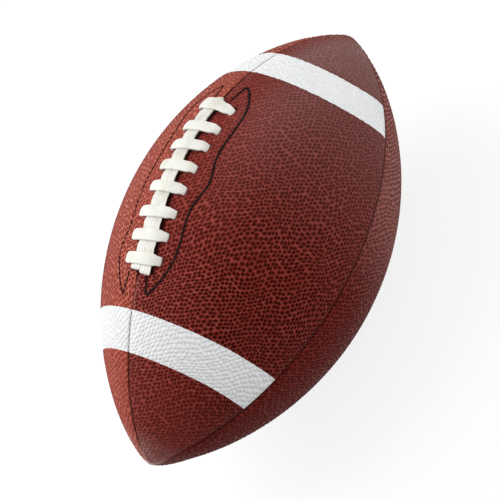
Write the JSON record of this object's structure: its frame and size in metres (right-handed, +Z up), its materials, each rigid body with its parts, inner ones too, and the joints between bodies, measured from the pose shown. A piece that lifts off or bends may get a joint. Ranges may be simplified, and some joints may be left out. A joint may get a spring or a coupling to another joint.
{
  "type": "american football",
  "caption": "Pointed leather ball of lined panels sewn round a valved bladder, closed by an ivory lace over its top seam, with white end stripes.",
  "frame": {"origin": "middle of the flat patch that the ball lies on, under its middle", "axes": "+X from tip to tip, +Z up through the laces, +Y towards the left panels"},
  "size_m": [0.2836, 0.1578, 0.1608],
  "materials": {
    "panel_leather": "pebbled, tacky semi-gloss",
    "lining_cloth": "woven",
    "facing_hide": "plain split hide",
    "lace_skin": "satin, faintly textured",
    "black_thread": "twisted thread",
    "waxed_thread": "waxed thread",
    "bladder_rubber": "smooth",
    "valve_rubber": "moulded"
  },
  "bodies": {
    "ball": {"lace_panel_left": "panel_leather", "lace_lining_left": "lining_cloth", "base_panel_left": "panel_leather", "base_lining_left": "lining_cloth", "facing_left": "facing_hide", "facing_stitch_left": "black_thread", "lace_strand_left": "lace_skin", "lace_panel_right": "panel_leather", "lace_lining_right": "lining_cloth", "base_panel_right": "panel_leather", "base_lining_right": "lining_cloth", "facing_right": "facing_hide", "facing_stitch_right": "black_thread", "lace_strand_right": "lace_skin", "lace": "lace_skin", "lace_tongue": "facing_hide", "seam_thread_left": "waxed_thread", "seam_thread_right": "waxed_thread", "seam_thread_base": "waxed_thread", "seam_thread_lace_front": "waxed_thread", "seam_thread_lace_rear": "waxed_thread", "bladder": "bladder_rubber", "valve_patch": "valve_rubber", "valve_housing": "valve_rubber"},
    "valve_plug": {"valve_core": "valve_rubber"}
  },
  "joints": [
    {"name": "valve_core_pull", "type": "slide", "parent": "ball", "child": "valve_plug", "axis": [0, 0.7071, -0.7071], "range_m": [0, 0.0145]}
  ]
}
